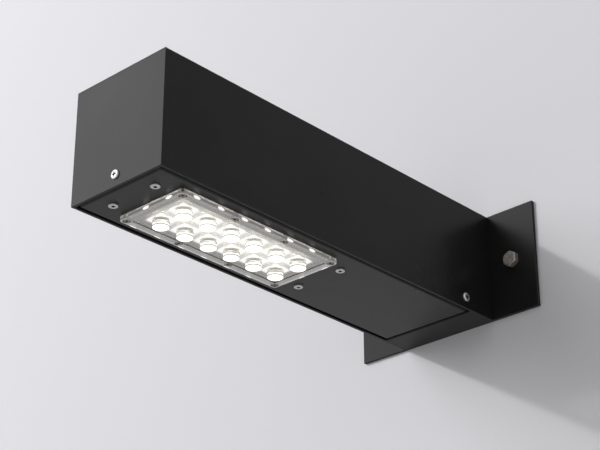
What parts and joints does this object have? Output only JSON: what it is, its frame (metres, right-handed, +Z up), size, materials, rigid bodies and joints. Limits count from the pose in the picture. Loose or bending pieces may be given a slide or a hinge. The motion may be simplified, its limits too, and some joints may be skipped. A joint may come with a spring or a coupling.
{
  "type": "wall area light",
  "caption": "Black sheet-metal box light on a wide wall plate, with a clear LED lens array in a swing-down gear tray on its underside.",
  "frame": {"origin": "centre of the wall plate's back face, on the wall's surface", "axes": "+Y into the wall, so the light reaches out along -Y; +Z up; +X to the right seen from the front"},
  "size_m": [0.199, 0.3995, 0.11],
  "materials": {
    "powder_coat": "satin black powder coat, fine texture",
    "zinc_plated": "bright zinc plated",
    "weathered_steel": "dull, lightly weathered steel",
    "bare_aluminium": "die cast, bare",
    "clear_acrylic": "clear, polished",
    "grey_silicone": "matt",
    "white_board": "white solder mask, satin",
    "led_silicone": "clear dome over yellow phosphor",
    "grey_pad": "matt",
    "black_rubber": "matt",
    "driver_case": "matt",
    "block_plastic": "satin",
    "clamp_plastic": "matt",
    "red_wire": "satin wire insulation",
    "black_wire": "satin wire insulation",
    "brown_wire": "satin wire insulation",
    "blue_wire": "satin wire insulation",
    "earth_wire": "green and yellow wire insulation"
  },
  "bodies": {
    "housing": {"wall_plate": "powder_coat", "housing_shell": "powder_coat", "end_plate": "powder_coat", "rear_panel": "powder_coat", "wall_bolt_left": "weathered_steel", "wall_bolt_right": "weathered_steel", "cable_grommet": "black_rubber", "pivot_screw_left": "zinc_plated", "pivot_screw_right": "zinc_plated", "pivot_spacer_left": "zinc_plated", "pivot_spacer_right": "zinc_plated", "end_screw": "zinc_plated", "end_screw_spacer": "zinc_plated", "end_screw_nut": "zinc_plated"},
    "tray": {"gear_tray": "powder_coat", "pivot_nut_left": "zinc_plated", "pivot_nut_right": "zinc_plated", "lens_array": "clear_acrylic", "lens_gasket": "grey_silicone", "lens_screw_1": "zinc_plated", "lens_screw_2": "zinc_plated", "lens_screw_3": "zinc_plated", "lens_screw_4": "zinc_plated", "lens_screw_5": "zinc_plated", "lens_screw_6": "zinc_plated", "lens_screw_7": "zinc_plated", "lens_screw_8": "zinc_plated", "led_board": "white_board", "led_1": "led_silicone", "led_2": "led_silicone", "led_3": "led_silicone", "led_4": "led_silicone", "led_5": "led_silicone", "led_6": "led_silicone", "led_7": "led_silicone", "led_8": "led_silicone", "led_9": "led_silicone", "led_10": "led_silicone", "led_11": "led_silicone", "led_12": "led_silicone", "thermal_pad": "grey_pad", "heat_sink": "bare_aluminium", "cover_screw_1": "zinc_plated", "cover_screw_2": "zinc_plated", "cover_screw_3": "zinc_plated", "cover_screw_4": "zinc_plated", "led_driver": "driver_case", "driver_nut_left": "zinc_plated", "driver_nut_right": "zinc_plated", "terminal_block": "block_plastic", "terminal_block_nut": "zinc_plated", "cable_clamp": "clamp_plastic", "clamp_nut_1": "zinc_plated", "clamp_nut_2": "zinc_plated", "led_lead_positive": "red_wire", "led_lead_negative": "black_wire", "mains_lead_live": "brown_wire", "mains_lead_neutral": "blue_wire", "earth_lead": "earth_wire", "earth_nut": "zinc_plated"}
  },
  "joints": [
    {"name": "tray_hinge", "type": "hinge", "parent": "housing", "child": "tray", "pos_m": [0, -0.0405, -0.0405], "axis": [1, 0, 0], "range_deg": [0, 78]}
  ]
}
